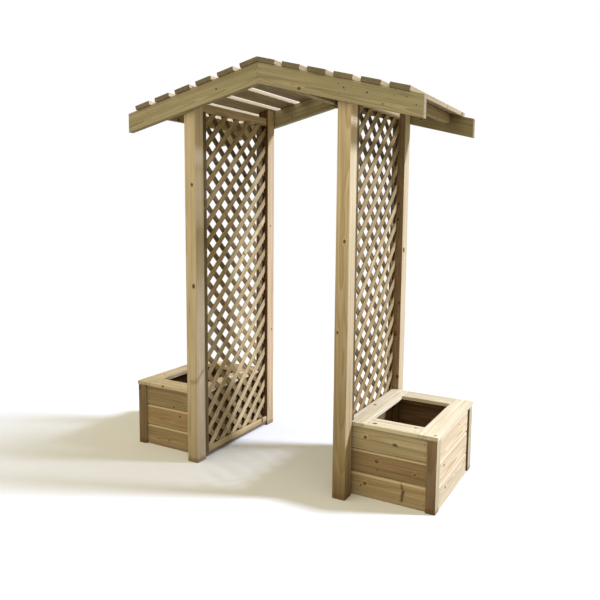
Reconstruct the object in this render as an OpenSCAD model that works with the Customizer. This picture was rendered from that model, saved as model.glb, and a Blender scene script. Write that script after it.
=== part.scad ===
// Planter trellis arch: four posts under a slatted gable roof, a diamond lattice between each
// front and back post, and a shiplap planter box on the outside of each lattice.
// X runs across the passage, Y from front to back, Z up. The feet stand on Z = 0.
// Millimetres.

/* [Frame] */
// Width of the passage between the posts
passage_width = 830; // [600:10:1200]
// Clear distance between a front and a back post
side_width = 600; // [450:10:900]
// Side of the square posts
post_size = 70; // [60:1:100]
// Radius of the planed arrises of the posts
post_arris = 5; // [1:0.5:8]

/* [Roof] */
// Height of the top of the rafters at the ridge
apex_height = 2087; // [1800:1:2500]
// Width over the rafter ends
roof_span = 1680; // [1400:10:2400]
// Pitch of each slope
roof_pitch = 13.5; // [8:0.5:25]
// Thickness of the rafters
rafter_thick = 32; // [25:1:45]
// Depth of the rafters square to the slope
rafter_depth = 97; // [70:1:130]
// Thickness of the ridge board
ridge_thick = 32; // [20:1:45]
// Depth of the ridge board below the apex
ridge_depth = 85; // [60:1:95]
// Thickness of the battens under the eaves
eave_thick = 32; // [20:1:45]
// Depth of the eave battens at their outer face
eave_depth = 50; // [35:1:70]
// Distance from a rafter end to the outer face of its eave batten
eave_inset = 125; // [80:1:200]

/* [Roof slats] */
// Slats on each slope
slat_count = 6; // [4:1:8]
// Width of a slat
slat_width = 100; // [70:1:110]
// Thickness of a slat
slat_thick = 22; // [16:1:30]
// Bare rafter left between the lowest slat and the rafter end
slat_margin = 62; // [30:1:120]
// Length that the slats run past the rafters
slat_overhang = 8; // [0:1:40]
// Radius of the slat arrises
slat_arris = 2.5; // [1:0.5:5]

/* [Lattice] */
// Width of a lath
lath_width = 30; // [20:1:40]
// Thickness of a lath
lath_thick = 7; // [5:0.5:10]
// Distance from lath to lath, measured level
lath_pitch = 105; // [80:1:150]
// Distance from the passage face of a post to the middle of the lattice
lattice_inset = 25; // [20:1:40]
// Height at which a lath that rises to the back crosses the middle of the left panel
rising_start = 86; // [30:1:135]
// Height at which a lath that falls to the back crosses the middle of the left panel
falling_start = 111; // [30:1:135]
// Distance that the pattern of the right panel lies below that of the left one
pattern_drop = 12; // [0:1:50]
// Gap between a top rail and the underside of the slats
top_rail_gap = 43; // [1:1:60]
// Depth of a top rail
top_rail_depth = 45; // [35:1:90]
// Thickness of a top rail
top_rail_thick = 26; // [20:1:35]
// Width of a bottom rail
bottom_rail_width = 30; // [25:1:35]
// Thickness of a bottom rail
bottom_rail_thick = 22; // [16:1:32]
// Height of a bottom rail above the ground
bottom_rail_lift = 8; // [2:1:40]
// Width of the thin battens on the passage face
cover_width = 30; // [20:1:45]
// Thickness of the thin battens on the passage face
cover_thick = 13; // [8:1:18]
// Side of the square battens on the outer face
fixing_batten = 32; // [20:1:38]
// Height of the strip at the foot of the lattice
foot_strip_height = 28; // [20:1:45]
// Thickness of the strip at the foot of the lattice
foot_strip_thick = 13; // [6:1:13]

/* [Planters] */
// Width of a planter from the lattice to the outer edge of its cap
planter_width = 473; // [350:1:700]
// Height of one course of boards
course_height = 118; // [95:1:145]
// Courses in a planter wall
course_count = 3; // [2:1:4]
// Thickness of the shiplap boards
board_thick = 16; // [12:1:22]
// Radius of the hollow along the top of a board's face
scoop_radius = 14; // [8:1:25]
// Depth of the hollow
scoop_depth = 5; // [2:0.5:6]
// Height of the lap between two courses
lap_height = 9; // [6:1:14]
// Open joint on the face between two courses
joint_gap = 3; // [0.5:0.5:5]
// Side of the square corner posts
corner_post = 50; // [40:1:60]
// Distance that the front and back boards lie back from the face of the corner posts
board_setback = 14; // [5:1:20]
// Distance that the outer boards lie back from the face of the corner posts
outer_setback = 2; // [1:1:20]
// Gap between the outer boards and the rear corner post
rear_gap = 34; // [5:1:40]
// Side of the square battens inside the walls
inner_batten = 32; // [20:1:40]
// Width of the cap boards
cap_width = 100; // [70:1:120]
// Thickness of the cap boards
cap_thick = 20; // [15:1:30]
// Distance that the cap runs past the corner posts
cap_overhang = 3; // [0:1:15]
// Boards in the floor of a planter
floor_count = 4; // [3:1:6]
// Gap between floor boards, for drainage
floor_gap = 9; // [4:1:20]
// Thickness of the floor boards
floor_thick = 16; // [12:1:22]

/* [Hidden] */
$fn = 48;
// Clearance between boards that lap without touching
play = 0.4;
// Room left at the ends and edges of boards that are dropped in
easing = 2;
// Room between a planter and the bottom rail beside it
rail_room = 2.5;
// Thickness of the lip of a shiplap board that laps over the one below
lip_thick = 9;
post_in = passage_width / 2;
post_out = post_in + post_size;
bay = side_width / 2;
post_back = bay + post_size;
rise = tan(roof_pitch);
rafter_plumb = rafter_depth / cos(roof_pitch);
slope_length = (roof_span / 2 - slat_margin) / cos(roof_pitch);
slat_step = (slope_length - slat_width) / (slat_count - 1);
slat_end = post_back + rafter_thick + slat_overhang;
lattice_mid = post_in + lattice_inset;
lattice_thick = 2 * lath_thick - play;
lattice_in = lattice_mid - lattice_thick / 2;
lattice_out = lattice_mid + lattice_thick / 2;
rail_top = bottom_rail_lift + bottom_rail_thick;
top_rail_low = apex_height - (lattice_mid + top_rail_thick / 2) * rise - top_rail_gap - top_rail_depth;
wall_height = course_count * course_height;
cap_top = wall_height + cap_thick;
cap_out = lattice_out + planter_width;
post_face_x = cap_out - cap_overhang;
post_face_y = bay - cap_overhang;
corner_x = post_face_x - corner_post;
corner_y = post_face_y - corner_post;
face_y = post_face_y - board_setback;
back_y = face_y - board_thick;
outer_face_x = post_face_x - outer_setback;
outer_back_x = outer_face_x - board_thick;
inner_face_x = lattice_mid + bottom_rail_width / 2 + rail_room;
inner_back_x = inner_face_x + board_thick;

// ---- shared forms ----

// A box from its low corner to its high corner
module bar(low, high) {
    translate(low) cube(high - low);
}

// A rectangle with rounded corners, from the origin
module eased_rectangle(w, h, r) {
    union() {
        translate([r, 0]) square([w - 2 * r, h]);
        translate([0, r]) square([w, h - 2 * r]);
        for (x = [r, w - r], y = [r, h - r]) translate([x, y]) circle(r);
    }
}

// A profile drawn in X and Z, run along Y from y0 to y1
module along_y(y0, y1) {
    translate([0, y1, 0]) rotate([90, 0, 0]) linear_extrude(y1 - y0) children();
}

// A profile drawn in Y and Z, run along X from x0 to x1
module along_x(x0, x1) {
    translate([x0, 0, 0]) rotate([90, 0, 90]) linear_extrude(x1 - x0) children();
}

// Everything under the plane on which the slats lie, on the right-hand slope
module under_slope(x_max) {
    along_y(-slat_end, slat_end)
        polygon([[0, 0], [x_max, 0], [x_max, apex_height - x_max * rise], [0, apex_height]]);
}

// ---- posts ----

// The post at the front right. Its top is cut to the slope of the roof.
module post() {
    intersection() {
        translate([post_in, -post_back, 0])
            linear_extrude(apex_height) eased_rectangle(post_size, post_size, post_arris);
        under_slope(roof_span / 2);
    }
}

module post_front_right() { color("#b09a6a") post(); }
module post_front_left() { color("#b09a6a") mirror([1, 0, 0]) post(); }
module post_back_right() { color("#b09a6a") mirror([0, 1, 0]) post(); }
module post_back_left() { color("#b09a6a") rotate([0, 0, 180]) post(); }

// ---- lattice sides ----
// The rails and battens are drawn on the left, and the right side is the same turned half round.

module bottom_rail() {
    bar([-lattice_mid - bottom_rail_width / 2, -bay, bottom_rail_lift],
        [-lattice_mid + bottom_rail_width / 2, bay, rail_top]);
}

module top_rail() {
    bar([-lattice_mid - top_rail_thick / 2, -bay, top_rail_low],
        [-lattice_mid + top_rail_thick / 2, bay, top_rail_low + top_rail_depth]);
}

// One layer of laths that all lean the same way, cut off square at the panel's edges. A corner
// too short for a lath to reach a crossing is left open.
module lath_layer(lean, start) {
    reach = bay + top_rail_low;
    first = floor((rail_top - bay - start) / lath_pitch);
    last = ceil((top_rail_low + bay - start) / lath_pitch);
    intersection() {
        translate([-bay, rail_top]) square([2 * bay, top_rail_low - rail_top]);
        for (i = [first : last]) {
            middle = start + i * lath_pitch;
            run = bay + min(bay, middle - rail_top, top_rail_low - middle);
            if (run > lath_pitch / 2)
                translate([0, middle]) rotate(lean)
                    translate([-reach, -lath_width / 2]) square([2 * reach, lath_width]);
        }
    }
}

// A panel of two layers. The one on the right-hand side rises to the back.
module lattice(x, drop) {
    union() {
        along_x(x - play / 2, x + lattice_thick / 2) lath_layer(45, rising_start - drop);
        along_x(x - lattice_thick / 2, x + play / 2) lath_layer(-45, falling_start - drop);
    }
}

// A thin batten and a foot strip on the passage face, and a square batten on the outer face
module lattice_battens() {
    bar([-lattice_in, -bay, rail_top], [-lattice_in + cover_thick, -bay + cover_width, top_rail_low]);
    bar([-lattice_in, -bay + cover_width + easing, rail_top],
        [-lattice_in + foot_strip_thick, bay, rail_top + foot_strip_height]);
    bar([-lattice_out - fixing_batten, bay - fixing_batten, cap_top],
        [-lattice_out, bay, top_rail_low]);
}

module bottom_rail_left() { color("#8f7d52") bottom_rail(); }
module bottom_rail_right() { color("#8f7d52") rotate([0, 0, 180]) bottom_rail(); }
module top_rail_left() { color("#9a7f5c") top_rail(); }
module top_rail_right() { color("#9a7f5c") rotate([0, 0, 180]) top_rail(); }
module lattice_left() { color("#a08a62") lattice(-lattice_mid, 0); }
module lattice_right() { color("#a08a62") lattice(lattice_mid, pattern_drop); }
module lattice_battens_left() { color("#8f7d52") lattice_battens(); }
module lattice_battens_right() { color("#8f7d52") rotate([0, 0, 180]) lattice_battens(); }

// ---- roof ----

// The rafter at the front right, with a plumb cut at the ridge and at the eave
module rafter() {
    tip = roof_span / 2;
    along_y(-post_back - rafter_thick, -post_back)
        polygon([[0, apex_height], [0, apex_height - rafter_plumb],
            [tip, apex_height - rafter_plumb - tip * rise], [tip, apex_height - tip * rise]]);
}

module rafter_front_right() { color("#968b66") rafter(); }
module rafter_front_left() { color("#968b66") mirror([1, 0, 0]) rafter(); }
module rafter_back_right() { color("#968b66") mirror([0, 1, 0]) rafter(); }
module rafter_back_left() { color("#968b66") rotate([0, 0, 180]) rafter(); }

// The ridge board, with its top planed to both slopes
module ridge_board() {
    half = ridge_thick / 2;
    color("#7d6a45") along_y(-post_back, post_back)
        polygon([[-half, apex_height - ridge_depth], [half, apex_height - ridge_depth],
            [half, apex_height - half * rise], [0, apex_height], [-half, apex_height - half * rise]]);
}

// The batten that carries the slats in the right-hand overhang, with its top planed to the slope
module eave_batten() {
    out = roof_span / 2 - eave_inset;
    in = out - eave_thick;
    foot = apex_height - out * rise - eave_depth;
    along_y(-post_back, post_back)
        polygon([[in, foot], [out, foot], [out, apex_height - out * rise], [in, apex_height - in * rise]]);
}

module eave_batten_right() { color("#8a7048") eave_batten(); }
module eave_batten_left() { color("#8a7048") mirror([1, 0, 0]) eave_batten(); }

// Section of a slat lying on the right-hand slope, from one distance down the slope to another
module slat_section(from, to) {
    translate([0, apex_height]) rotate(-roof_pitch) translate([from, 0])
        eased_rectangle(to - from, slat_thick, slat_arris);
}

// The slats of the right-hand slope. The top one is mitred against its neighbour at the ridge.
module slope_slats() {
    along_y(-slat_end, slat_end) intersection() {
        slat_section(-slat_thick, slat_width);
        translate([0, apex_height - slat_width]) square(2 * slat_width);
    }
    for (i = [1 : slat_count - 1])
        along_y(-slat_end, slat_end) slat_section(i * slat_step, i * slat_step + slat_width);
}

module roof_slats_right() { color("#c2b183") slope_slats(); }
module roof_slats_left() { color("#c2b183") mirror([1, 0, 0]) slope_slats(); }

// ---- planters, drawn on the right and mirrored to the left ----

// Section of one shiplap board from its outer face inwards. Its top is hollowed on the outside, and
// a tongue behind it goes up into the rebate of the board above.
module shiplap(course) {
    foot = course == 0 ? 0 : joint_gap;
    rebate = course == 0 ? 0 : lap_height + play;
    tongue_top = course_height + (course == course_count - 1 ? 0 : lap_height);
    lip = course == 0 ? board_thick : lip_thick;
    translate([0, course * course_height]) difference() {
        polygon([[0, foot], [0, course_height], [lip_thick + play, course_height],
            [lip_thick + play, tongue_top], [board_thick, tongue_top],
            [board_thick, rebate], [lip, rebate], [lip, foot]]);
        translate([scoop_depth - scoop_radius, course_height]) circle(scoop_radius);
    }
}

module front_boards() {
    for (course = [0 : course_count - 1])
        along_x(inner_face_x, corner_x) translate([-face_y, 0]) shiplap(course);
}

module outer_boards() {
    for (course = [0 : course_count - 1])
        along_y(-corner_y, corner_y - rear_gap)
            translate([outer_face_x, 0]) mirror([1, 0]) shiplap(course);
}

module inner_boards() {
    for (course = [0 : course_count - 1])
        along_y(-back_y, back_y) translate([inner_face_x, 0]) shiplap(course);
}

module corner_posts() {
    for (y = [-post_face_y, corner_y])
        translate([corner_x, y, 0])
            linear_extrude(wall_height) eased_rectangle(corner_post, corner_post, slat_arris);
}

// Upright battens that the ends of the boards are nailed to
module uprights() {
    for (y = [-corner_y, corner_y - corner_post])
        bar([outer_back_x - inner_batten, y, 0], [outer_back_x, y + corner_post, wall_height]);
    for (y = [-back_y, back_y - inner_batten])
        bar([inner_back_x, y, 0], [inner_back_x + inner_batten, y + inner_batten, wall_height]);
}

// Level battens along the front and back walls, which carry the floor and the cap
module bearers() {
    for (y = [-back_y, back_y - inner_batten], z = [0, wall_height - inner_batten])
        bar([inner_back_x + inner_batten, y, z],
            [outer_back_x - inner_batten, y + inner_batten, z + inner_batten]);
}

module floor_boards() {
    x0 = inner_back_x + inner_batten + easing;
    x1 = outer_back_x - inner_batten - easing;
    width = (x1 - x0 - (floor_count - 1) * floor_gap) / floor_count;
    for (i = [0 : floor_count - 1])
        bar([x0 + i * (width + floor_gap), -back_y, inner_batten],
            [x0 + i * (width + floor_gap) + width, back_y, inner_batten + floor_thick]);
}

// Two cap boards run the full depth, and two butt between them
module cap_sides() {
    for (x = [lattice_out, cap_out - cap_width])
        along_y(-bay, bay)
            translate([x, wall_height]) eased_rectangle(cap_width, cap_thick, slat_arris);
}

module cap_ends() {
    for (y = [-bay, bay - cap_width])
        along_x(lattice_out + cap_width, cap_out - cap_width)
            translate([y, wall_height]) eased_rectangle(cap_width, cap_thick, slat_arris);
}

module planter_right_corner_posts() { color("#a3966b") corner_posts(); }
module planter_left_corner_posts() { color("#a3966b") mirror([1, 0, 0]) corner_posts(); }
module planter_right_uprights() { color("#7d6a45") uprights(); }
module planter_left_uprights() { color("#7d6a45") mirror([1, 0, 0]) uprights(); }
module planter_right_bearers() { color("#7d6a45") bearers(); }
module planter_left_bearers() { color("#7d6a45") mirror([1, 0, 0]) bearers(); }
module planter_right_front_boards() { color("#b58f5c") front_boards(); }
module planter_left_front_boards() { color("#b58f5c") mirror([1, 0, 0]) front_boards(); }
module planter_right_back_boards() { color("#b58f5c") mirror([0, 1, 0]) front_boards(); }
module planter_left_back_boards() { color("#b58f5c") rotate([0, 0, 180]) front_boards(); }
module planter_right_outer_boards() { color("#b58f5c") outer_boards(); }
module planter_left_outer_boards() { color("#b58f5c") mirror([1, 0, 0]) outer_boards(); }
module planter_right_inner_boards() { color("#b58f5c") inner_boards(); }
module planter_left_inner_boards() { color("#b58f5c") mirror([1, 0, 0]) inner_boards(); }
module planter_right_floor() { color("#8f7d52") floor_boards(); }
module planter_left_floor() { color("#8f7d52") mirror([1, 0, 0]) floor_boards(); }
module planter_right_cap_sides() { color("#cbb98a") cap_sides(); }
module planter_left_cap_sides() { color("#cbb98a") mirror([1, 0, 0]) cap_sides(); }
module planter_right_cap_ends() { color("#cbb98a") cap_ends(); }
module planter_left_cap_ends() { color("#cbb98a") mirror([1, 0, 0]) cap_ends(); }

post_front_left();
post_front_right();
post_back_left();
post_back_right();
bottom_rail_left();
bottom_rail_right();
lattice_left();
lattice_right();
lattice_battens_left();
lattice_battens_right();
top_rail_left();
top_rail_right();
rafter_front_left();
rafter_front_right();
rafter_back_left();
rafter_back_right();
ridge_board();
eave_batten_left();
eave_batten_right();
roof_slats_left();
roof_slats_right();
planter_left_corner_posts();
planter_right_corner_posts();
planter_left_uprights();
planter_right_uprights();
planter_left_bearers();
planter_right_bearers();
planter_left_front_boards();
planter_right_front_boards();
planter_left_back_boards();
planter_right_back_boards();
planter_left_outer_boards();
planter_right_outer_boards();
planter_left_inner_boards();
planter_right_inner_boards();
planter_left_floor();
planter_right_floor();
planter_left_cap_sides();
planter_right_cap_sides();
planter_left_cap_ends();
planter_right_cap_ends();
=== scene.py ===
"""Looks of a garden arch with two planters: treated softwood boards, laths, nails, light and camera."""

import copy
import math
import random

import bmesh
import bpy
from mathutils import Matrix, Vector


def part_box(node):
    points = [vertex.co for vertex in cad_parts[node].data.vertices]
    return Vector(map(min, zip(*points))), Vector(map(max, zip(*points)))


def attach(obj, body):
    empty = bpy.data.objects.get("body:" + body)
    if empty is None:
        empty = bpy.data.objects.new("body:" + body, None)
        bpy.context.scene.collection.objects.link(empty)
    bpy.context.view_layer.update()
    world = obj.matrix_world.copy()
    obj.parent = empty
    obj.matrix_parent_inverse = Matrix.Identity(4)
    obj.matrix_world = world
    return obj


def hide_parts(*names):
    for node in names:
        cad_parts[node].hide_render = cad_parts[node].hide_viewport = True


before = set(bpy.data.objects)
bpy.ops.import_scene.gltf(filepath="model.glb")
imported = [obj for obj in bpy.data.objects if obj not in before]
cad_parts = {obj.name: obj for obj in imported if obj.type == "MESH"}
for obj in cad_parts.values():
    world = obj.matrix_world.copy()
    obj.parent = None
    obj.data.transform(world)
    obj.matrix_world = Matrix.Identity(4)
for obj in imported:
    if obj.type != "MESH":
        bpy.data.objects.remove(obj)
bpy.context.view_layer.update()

SEED = 41

X_AXIS, Y_AXIS, Z_AXIS = Vector((1, 0, 0)), Vector((0, 1, 0)), Vector((0, 0, 1))
UPRIGHT = (X_AXIS, Y_AXIS, Z_AXIS)
NUMBER, COLOUR, VECTOR = "NodeSocketFloat", "NodeSocketColor", "NodeSocketVector"


def srgb(red, green, blue):
    """A colour given as 0 to 255 screen values, as Blender's linear RGBA."""
    linear = []
    for value in (red, green, blue):
        share = value / 255
        linear.append(share / 12.92 if share <= 0.04045 else ((share + 0.055) / 1.055) ** 2.4)
    return (*linear, 1.0)


# ---- shader building


class Wiring:
    """Adds nodes to a node tree and links them, so that a material reads as a formula."""

    def __init__(self, tree):
        self.tree = tree

    def add(self, kind, inputs=None, **settings):
        node = self.tree.nodes.new(kind)
        for name, value in settings.items():
            setattr(node, name, value)
        for name, value in (inputs or {}).items():
            self.feed(node.inputs[name], value)
        return node

    def feed(self, socket, value):
        if isinstance(value, bpy.types.NodeSocket):
            self.tree.links.new(value, socket)
        else:
            socket.default_value = value

    def math(self, operation, *values, clamp=False):
        node = self.add("ShaderNodeMath", dict(enumerate(values)), operation=operation)
        node.use_clamp = clamp
        return node.outputs[0]

    def times(self, a, b):
        return self.math("MULTIPLY", a, b)

    def less(self, a, b, clamp=False):
        return self.math("SUBTRACT", a, b, clamp=clamp)

    def linear(self, value, slope, offset):
        return self.math("MULTIPLY_ADD", value, slope, offset)

    def vector(self, operation, *values, output="Vector"):
        node = self.add("ShaderNodeVectorMath", dict(enumerate(values)), operation=operation)
        return node.outputs[output]

    def measure(self, operation, *values):
        """Vector maths that gives a number, such as a dot product or a distance."""
        return self.vector(operation, *values, output="Value")

    def split(self, vector):
        node = self.add("ShaderNodeSeparateXYZ", {0: vector})
        return node.outputs[0], node.outputs[1], node.outputs[2]

    def join(self, x, y, z):
        return self.add("ShaderNodeCombineXYZ", {0: x, 1: y, 2: z}).outputs[0]

    def attribute(self, name):
        return self.add("ShaderNodeAttribute", attribute_name=name).outputs["Vector"]

    def noise(self, vector, scale, detail=2.0, rough=0.5):
        """Noise, about 0.5 on average, with a scale of its own along each axis."""
        stretched = self.vector("MULTIPLY", vector, scale)
        inputs = {"Vector": stretched, "Scale": 1.0, "Detail": detail, "Roughness": rough}
        return self.add("ShaderNodeTexNoise", inputs).outputs[0]

    def step(self, value, start, end):
        """Smoothly 0 to 1 as the value goes from start to end."""
        inputs = {"Value": value, "From Min": start, "From Max": end}
        return self.add("ShaderNodeMapRange", inputs, interpolation_type="SMOOTHSTEP").outputs[0]

    def fade(self, value, start, end):
        """Smoothly 1 to 0 as the value goes from start to end."""
        return self.less(1.0, self.step(value, start, end))

    def mix(self, factor, first, second):
        node = self.add("ShaderNodeMix", data_type="RGBA", blend_type="MIX", clamp_factor=True)
        for index, value in ((0, factor), (6, first), (7, second)):
            self.feed(node.inputs[index], value)
        return node.outputs[2]

    def shade(self, colour, factor):
        """The colour times a factor."""
        node = self.add("ShaderNodeVectorMath", {0: colour, "Scale": factor}, operation="SCALE")
        return node.outputs[0]

    def tinted(self, factor, colour, tint):
        """The colour, multiplied by a tint as far as the factor says."""
        return self.mix(factor, colour, self.vector("MULTIPLY", colour, tint))


def new_group(name, inputs, outputs):
    """A shader group with typed sockets, and its wiring, input and output nodes."""
    group = bpy.data.node_groups.new(name, "ShaderNodeTree")
    for socket, kind in inputs:
        group.interface.new_socket(socket, in_out="INPUT", socket_type=kind)
    for socket, kind in outputs:
        group.interface.new_socket(socket, in_out="OUTPUT", socket_type=kind)
    wiring = Wiring(group)
    return group, wiring, wiring.add("NodeGroupInput"), wiring.add("NodeGroupOutput")


# ---- timber shader

KNOT_SLOTS = 6
SPIKE_SLOTS = 2
TINY = 1e-5

# noises of the wood: patches a metre along a board, across its breadth and through it
FIBRES = (14, 620, 620)
FINE_STREAKS = (3.5, 190, 190)
STREAKS = (1.3, 60, 60)
PATCHES = (2.4, 10, 10)
CLOUDS = (0.9, 4, 4)
BLOTCHES = (5, 40, 40)
RING_WANDER = (1.5, 7, 7)
CHECK_LINES = (1.1, 130, 130)
CHECK_ZONES = (1.7, 14, 14)
KNOT_EDGES = (70, 110, 110)
KNOT_RIMS = (30, 45, 45)
SPIKE_WOBBLE = (60, 90, 90)
SPIKE_SWELLING = (130, 130, 130)

# a knot: how its distances along the grain shrink, and how its push on the rings falls off and starts
KNOT_SHORTENING = 0.78
PUSH_FALLOFF = -0.26
PUSH_SHARE = 0.9

# rings: how many changes of season there are a year, and how many years they shift the rings by
SEASON_SCALE = 0.33
SEASON_YEARS = 1.6

# stains, browning and painted shade: what they multiply the wood by or turn it to, and the heights up to
# which they reach
DEEP_TINT = (1.0, 0.90, 0.62)
FOOT_TINT = (0.32, 0.23, 0.06)
LOW_STAIN_TOP = 0.24
DAMP_BROWN = srgb(122, 88, 52)
DAMP_TOP = 0.022
# the brown that soil, stain and painted shade turn some faces to
SOIL_AND_SHADE_BROWN = srgb(96, 58, 22)
# painted shade in joints and recesses, partly standing for dirt there: its tint, strength and
# ambient-occlusion samples
JOINT_SHADE_TINT = (0.11, 0.08, 0.045)
JOINT_SHADE_AMOUNT = 0.95
JOINT_SHADE_SAMPLES = 6

# what a palette gives the timber group
PALETTE_COLOURS = ("Early wood", "Late wood", "Warm", "Green", "Knot")
PALETTE_NUMBERS = ("End shade", "Green amount", "Damp", "Painted top light", "Joint shade reach")


def knot_group():
    """How far a point is from one knot's axis, in knot radii, and how far that knot pushes the rings."""
    sockets = [("Grain", VECTOR), ("Knot", VECTOR)]
    group, w, source, result = new_group("knot", sockets, [("Ratio", NUMBER), ("Push", NUMBER)])
    along, broad, narrow = w.split(source.outputs["Grain"])
    knot_along, knot_across, size = w.split(source.outputs["Knot"])
    on_broad = w.math("GREATER_THAN", size, 0.0)
    across = w.linear(on_broad, w.less(broad, narrow), narrow)
    run = w.times(w.less(along, knot_along), KNOT_SHORTENING)
    offset = w.less(across, knot_across)
    squares = w.linear(run, run, w.times(offset, offset))
    radius = w.math("MAXIMUM", w.math("ABSOLUTE", size), TINY)
    ratio = w.math("DIVIDE", w.math("SQRT", squares), radius)
    near = w.math("EXPONENT", w.times(w.times(ratio, ratio), PUSH_FALLOFF))
    w.feed(result.inputs["Ratio"], ratio)
    w.feed(result.inputs["Push"], w.times(near, w.times(radius, PUSH_SHARE)))
    return group


def nearest_knot(w, grain, group):
    """The smallest knot ratio over a board's knots, and the sum of their pushes on the rings."""
    nearest, push = None, None
    for index in range(KNOT_SLOTS):
        node = w.add("ShaderNodeGroup", node_tree=group)
        w.feed(node.inputs["Grain"], grain)
        w.feed(node.inputs["Knot"], w.attribute(f"knot_{index}"))
        ratio, shove = node.outputs["Ratio"], node.outputs["Push"]
        nearest = ratio if nearest is None else w.math("MINIMUM", nearest, ratio)
        push = shove if push is None else w.math("ADD", push, shove)
    return nearest, push


class Wood:
    """What the parts of the timber shader share: the palette, the place in the board and some noises."""

    def __init__(self, w, palette):
        self.w = w
        self.palette = palette
        self.grain = w.attribute("grain")
        self.place = w.vector("ADD", self.grain, w.attribute("seed"))
        self.normal = w.add("ShaderNodeNewGeometry").outputs["Normal"]
        self.fibre = self.noise(FIBRES, 3.0, 0.6)
        self.streak = self.noise(STREAKS, 3.0, 0.55)
        self.patch = self.noise(PATCHES, 3.0)
        self.cloud = self.noise(CLOUDS, 1.0)

    def noise(self, scale, detail=2.0, rough=0.5):
        """Noise that lies along the board's own grain."""
        return self.w.noise(self.place, scale, detail, rough)


def timber_group():
    """Sawn softwood from a board's own attributes: rings, fibres, knots, checks, edges worn and painted
    lighter, end grain, and painted light and shade.
    """
    inputs = [(name, COLOUR) for name in PALETTE_COLOURS] + [(name, NUMBER) for name in PALETTE_NUMBERS]
    outputs = [("Colour", COLOUR), ("Roughness", NUMBER), ("Height", NUMBER)]
    group, w, source, result = new_group("timber", inputs, outputs)
    wood = Wood(w, source.outputs)
    ratio, push = nearest_knot(w, wood.grain, knot_group())
    ratio = w.times(ratio, w.linear(wood.noise(KNOT_EDGES), 0.5, 0.75))
    dense = late_wood(wood, push)
    check = check_lines(wood)
    spike = w.math("MAXIMUM", spike_knot(wood, 0), spike_knot(wood, 1))

    colour = plain_wood(wood, dense)
    colour, core, rim = with_knots(wood, colour, ratio)
    colour = w.shade(colour, w.linear(check, -0.42, 1.0))
    colour = with_spikes(wood, colour, spike)
    colour = worn(wood, colour, dense)
    colour = weathered(wood, colour)

    relief = w.linear(dense, 0.45, w.times(wood.fibre, 0.55))
    for mark, height in ((check, -1.4), (spike, -0.3), (rim, -0.7)):
        relief = w.linear(mark, height, relief)
    rough = w.linear(core, -0.12, w.linear(wood.fibre, 0.2, 0.62))
    for name, value in (("Colour", colour), ("Roughness", rough), ("Height", relief)):
        w.feed(result.inputs[name], value)
    return group


def late_wood(wood, push):
    """1 in the dark late wood of each year's ring, and 0 in the pale early wood."""
    w = wood.w
    along, broad, narrow = w.split(wood.grain)
    pith_broad, pith_narrow, spacing = w.split(w.attribute("pith"))
    drift_broad, drift_narrow, _ = w.split(w.attribute("drift"))
    sway = w.linear(wood.noise(RING_WANDER), 0.022, -0.011)
    x = w.math("ADD", w.less(broad, w.linear(drift_broad, along, pith_broad)), sway)
    y = w.less(w.less(narrow, w.linear(drift_narrow, along, pith_narrow)), sway)
    distance = w.math("SQRT", w.linear(x, x, w.times(y, y)))
    years = w.math("DIVIDE", w.math("ADD", distance, push), spacing)
    inputs = {"W": years, "Scale": SEASON_SCALE, "Detail": 1.0}
    season = w.add("ShaderNodeTexNoise", inputs, noise_dimensions="1D").outputs[0]
    year = w.math("FRACT", w.linear(season, SEASON_YEARS, years))
    return w.times(w.step(year, 0.30, 0.88), w.fade(year, 0.93, 1.0))


def plain_wood(wood, dense):
    """The wood's colour by its rings and streaks, its warm and green tints and its light and dark parts."""
    w = wood.w
    early, late = wood.palette["Early wood"], wood.palette["Late wood"]
    tone, warmth, greenness = w.split(w.attribute("tint"))
    colour = w.mix(w.times(dense, 0.9), early, late)
    colour = w.mix(w.times(w.step(wood.streak, 0.5, 0.78), 0.4), colour, late)
    colour = w.mix(w.times(warmth, w.linear(wood.cloud, 0.9, 0.35)), colour, wood.palette["Warm"])
    greened = w.math("ADD", greenness, w.step(wood.patch, 0.38, 0.72))
    colour = w.mix(w.times(wood.palette["Green amount"], greened), colour, wood.palette["Green"])

    brightness = w.math("ADD", w.linear(wood.fibre, 0.22, 0.89), tone)
    for noise, strength in ((wood.cloud, 0.16), (wood.streak, -0.6), (wood.noise(FINE_STREAKS), 0.4)):
        brightness = w.linear(w.less(noise, 0.5), strength, brightness)
    return w.tinted(w.less(1.0, brightness, clamp=True), w.shade(colour, brightness), DEEP_TINT)


def with_knots(wood, colour, ratio):
    """The colour with its knots, and how far a point is in a knot's core and on its broken dark rim."""
    w = wood.w
    late, knot = wood.palette["Late wood"], wood.palette["Knot"]
    colour = w.mix(w.times(w.fade(ratio, 1.0, 2.3), 0.35), colour, wood.palette["Warm"])
    core = w.fade(ratio, 0.86, 1.08)
    heart = w.mix(w.step(ratio, 0.0, 0.6), w.mix(0.7, late, knot), knot)
    whorl = w.linear(w.math("SINE", w.times(ratio, 19.0)), 0.06, 1.0)
    colour = w.mix(core, colour, w.shade(heart, whorl))
    ring = w.times(w.step(ratio, 0.76, 0.96), w.fade(ratio, 1.0, 1.2))
    rim = w.times(ring, w.step(wood.noise(KNOT_RIMS, 1.0), 0.34, 0.6))
    return w.shade(colour, w.linear(rim, -0.62, 1.0)), core, rim


def check_lines(wood):
    """1 in the fine drying cracks that some stretches of a board have along the grain."""
    w = wood.w
    off_line = w.math("ABSOLUTE", w.less(wood.noise(CHECK_LINES, 1.0), 0.5))
    zone = w.step(wood.noise(CHECK_ZONES, 1.0), 0.60, 0.70)
    return w.times(w.fade(off_line, 0.004, 0.020), zone)


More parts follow.
